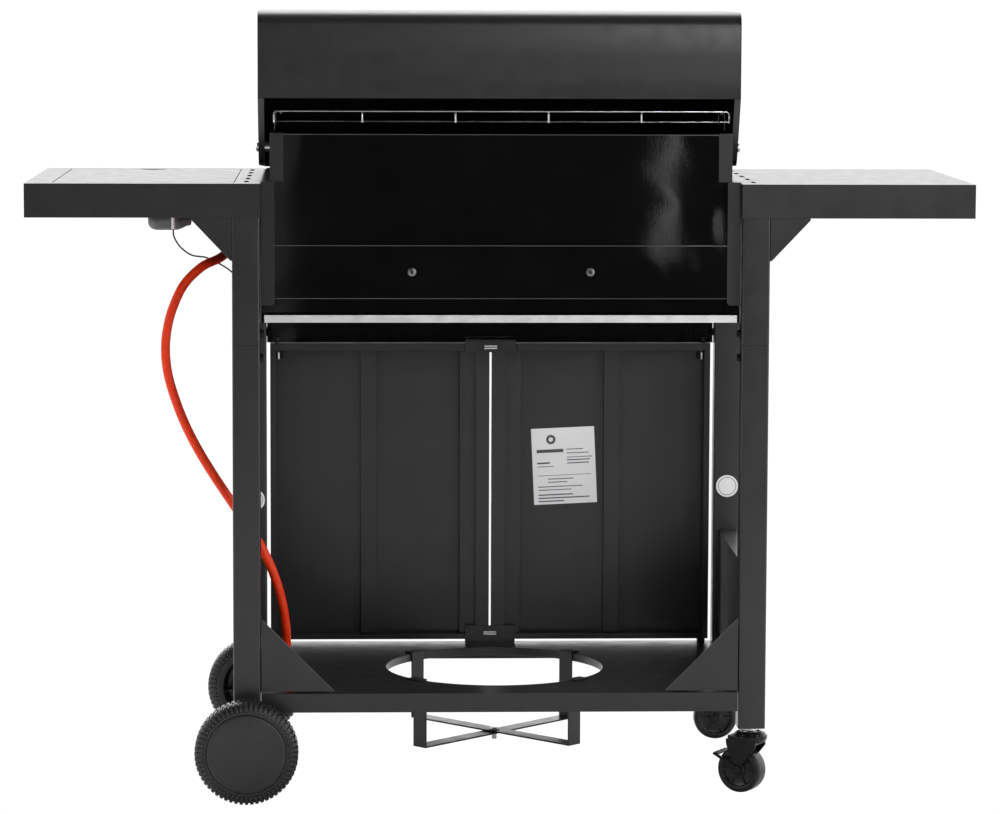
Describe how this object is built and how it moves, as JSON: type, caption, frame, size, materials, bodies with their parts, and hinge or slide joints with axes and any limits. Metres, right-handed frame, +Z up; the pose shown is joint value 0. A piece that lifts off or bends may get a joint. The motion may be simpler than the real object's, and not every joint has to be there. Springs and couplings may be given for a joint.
{
  "type": "gas barbecue grill",
  "caption": "Gas barbecue grill on a wheeled cart with a hinged lid, side shelves, a covered side burner, cabinet doors, a drip tray and a gas hose.",
  "frame": {"origin": "on the floor under the middle of the cart, the wheels' and the lid handle's outer reach being equal front and rear", "axes": "+X towards the side burner along the width, +Y towards the back of the grill, +Z up"},
  "size_m": [1.369, 0.586, 1.14],
  "materials": {
    "black_paint": "semi-matt powder coat with a fine orange-peel texture",
    "black_enamel": "glossy vitreous enamel",
    "galvanised": "plain galvanised sheet",
    "chrome": "bright plated wire",
    "cast_iron": "matt enamelled casting",
    "stainless": "brushed stainless steel",
    "cast_aluminium": "rough die casting",
    "zinc": "zinc-plated steel",
    "red_hose": "smooth orange-red rubber",
    "brass": "turned brass",
    "black_wire": "black insulated wire",
    "ceramic": "white glazed ceramic",
    "needle_red": "red painted needle",
    "knob_plastic": "satin moulded plastic",
    "wheel_plastic": "matt black moulded plastic",
    "fork_plastic": "black moulded plastic"
  },
  "bodies": {
    "cart": {"lower_legs": "black_paint", "upper_legs": "black_paint", "base_panel": "black_paint", "rear_gussets": "black_paint", "side_panels": "black_paint", "front_valance": "black_paint", "door_catches": "black_paint", "control_panel": "black_paint", "firebox_rear": "black_enamel", "firebox_front": "black_enamel", "firebox_end_right": "black_enamel", "firebox_end_left": "black_enamel", "firebox_floor": "black_enamel", "tray_rails": "black_paint", "bottle_cradle": "black_paint", "wheel_axle": "zinc", "side_shelf_burner": "black_paint", "side_shelf_plain": "black_paint", "shelf_brackets": "black_paint", "side_burner_pan": "black_enamel", "side_burner_head": "cast_aluminium", "side_burner_grate": "cast_iron", "side_burner_tube": "cast_aluminium", "burner_tubes": "stainless", "flame_tamers": "stainless", "cooking_grates": "cast_iron", "warming_rack": "chrome", "gas_manifold": "galvanised", "gas_hose": "red_hose", "hose_fitting": "brass", "igniter_wire": "black_wire", "igniter_electrode": "ceramic", "fasteners": "zinc", "caster_stems": "zinc"},
    "lid": {"lid_shell": "black_paint", "lid_end_plates": "black_paint", "lid_handle": "stainless", "lid_thermometer": "stainless"},
    "thermometer_needle": {"thermometer_needle": "needle_red"},
    "door_right": {"door_right": "black_paint", "door_handle_right": "stainless"},
    "door_left": {"door_left": "black_paint", "door_handle_left": "stainless"},
    "drip_tray": {"drip_tray": "galvanised"},
    "side_burner_lid": {"side_burner_lid": "black_paint"},
    "igniter_button": {"igniter_button": "knob_plastic"},
    "knob_1": {"knob_1": "knob_plastic"},
    "knob_2": {"knob_2": "knob_plastic"},
    "knob_3": {"knob_3": "knob_plastic"},
    "knob_4": {"knob_4": "knob_plastic"},
    "knob_side_burner": {"knob_side_burner": "knob_plastic"},
    "wheel_front": {"wheel_front": "wheel_plastic"},
    "wheel_rear": {"wheel_rear": "wheel_plastic"},
    "caster_fork_front": {"caster_fork_front": "fork_plastic"},
    "caster_fork_rear": {"caster_fork_rear": "fork_plastic"},
    "caster_wheel_front": {"caster_wheel_front": "wheel_plastic"},
    "caster_wheel_rear": {"caster_wheel_rear": "wheel_plastic"},
    "caster_brake_front": {"caster_brake_front": "fork_plastic"},
    "caster_brake_rear": {"caster_brake_rear": "fork_plastic"}
  },
  "joints": [
    {"name": "lid_hinge", "type": "hinge", "parent": "cart", "child": "lid", "pos_m": [0.003, 0.165, 0.945], "axis": [-1, 0, 0], "range_deg": [0, 88]},
    {"name": "needle_turn", "type": "hinge", "parent": "lid", "child": "thermometer_needle", "pos_m": [0.003, -0.2335, 1.015], "axis": [0, 1, 0], "range_deg": [0, 240], "stiffness_Nm_per_rad": 0.002},
    {"name": "door_right_hinge", "type": "hinge", "parent": "cart", "child": "door_right", "pos_m": [0.332, -0.217, 0.39], "axis": [0, 0, 1], "range_deg": [0, 100]},
    {"name": "door_left_hinge", "type": "hinge", "parent": "cart", "child": "door_left", "pos_m": [-0.332, -0.217, 0.39], "axis": [0, 0, -1], "range_deg": [0, 100]},
    {"name": "tray_slide", "type": "slide", "parent": "cart", "child": "drip_tray", "axis": [0, 1, 0], "range_m": [0, 0.35]},
    {"name": "side_lid_hinge", "type": "hinge", "parent": "cart", "child": "side_burner_lid", "pos_m": [0.5155, 0.198, 0.889], "axis": [-1, 0, 0], "range_deg": [0, 95]},
    {"name": "igniter_press", "type": "slide", "parent": "cart", "child": "igniter_button", "axis": [0, 1, 0], "range_m": [0, 0.004], "stiffness_N_per_m": 400},
    {"name": "knob_1_turn", "type": "hinge", "parent": "cart", "child": "knob_1", "pos_m": [-0.26, -0.26, 0.826], "axis": [0, -1, 0], "range_deg": [0, 225]},
    {"name": "knob_2_turn", "type": "hinge", "parent": "cart", "child": "knob_2", "pos_m": [-0.13, -0.26, 0.826], "axis": [0, -1, 0], "range_deg": [0, 225]},
    {"name": "knob_3_turn", "type": "hinge", "parent": "cart", "child": "knob_3", "pos_m": [0, -0.26, 0.826], "axis": [0, -1, 0], "range_deg": [0, 225]},
    {"name": "knob_4_turn", "type": "hinge", "parent": "cart", "child": "knob_4", "pos_m": [0.13, -0.26, 0.826], "axis": [0, -1, 0], "range_deg": [0, 225]},
    {"name": "knob_side_burner_turn", "type": "hinge", "parent": "cart", "child": "knob_side_burner", "pos_m": [0.26, -0.26, 0.826], "axis": [0, -1, 0], "range_deg": [0, 225]},
    {"name": "wheel_front_spin", "type": "hinge", "parent": "cart", "child": "wheel_front", "pos_m": [0.368, -0.27, 0.075], "axis": [0, 1, 0], "continuous": true},
    {"name": "wheel_rear_spin", "type": "hinge", "parent": "cart", "child": "wheel_rear", "pos_m": [0.368, 0.27, 0.075], "axis": [0, 1, 0], "continuous": true},
    {"name": "caster_front_swivel", "type": "hinge", "parent": "cart", "child": "caster_fork_front", "pos_m": [-0.368, -0.208, 0.085], "axis": [0, 0, 1], "continuous": true},
    {"name": "caster_front_spin", "type": "hinge", "parent": "caster_fork_front", "child": "caster_wheel_front", "pos_m": [-0.355, -0.208, 0.034], "axis": [0, 1, 0], "continuous": true},
    {"name": "caster_front_brake", "type": "hinge", "parent": "caster_fork_front", "child": "caster_brake_front", "pos_m": [-0.355, -0.208, 0.034], "axis": [0, 1, 0], "range_deg": [-18, 0]},
    {"name": "caster_rear_swivel", "type": "hinge", "parent": "cart", "child": "caster_fork_rear", "pos_m": [-0.368, 0.208, 0.085], "axis": [0, 0, 1], "continuous": true},
    {"name": "caster_rear_spin", "type": "hinge", "parent": "caster_fork_rear", "child": "caster_wheel_rear", "pos_m": [-0.35697, 0.20111, 0.034], "axis": [0.5299, 0.848, 0], "continuous": true},
    {"name": "caster_rear_brake", "type": "hinge", "parent": "caster_fork_rear", "child": "caster_brake_rear", "pos_m": [-0.35697, 0.20111, 0.034], "axis": [0.5299, 0.848, 0], "range_deg": [-18, 0]}
  ]
}
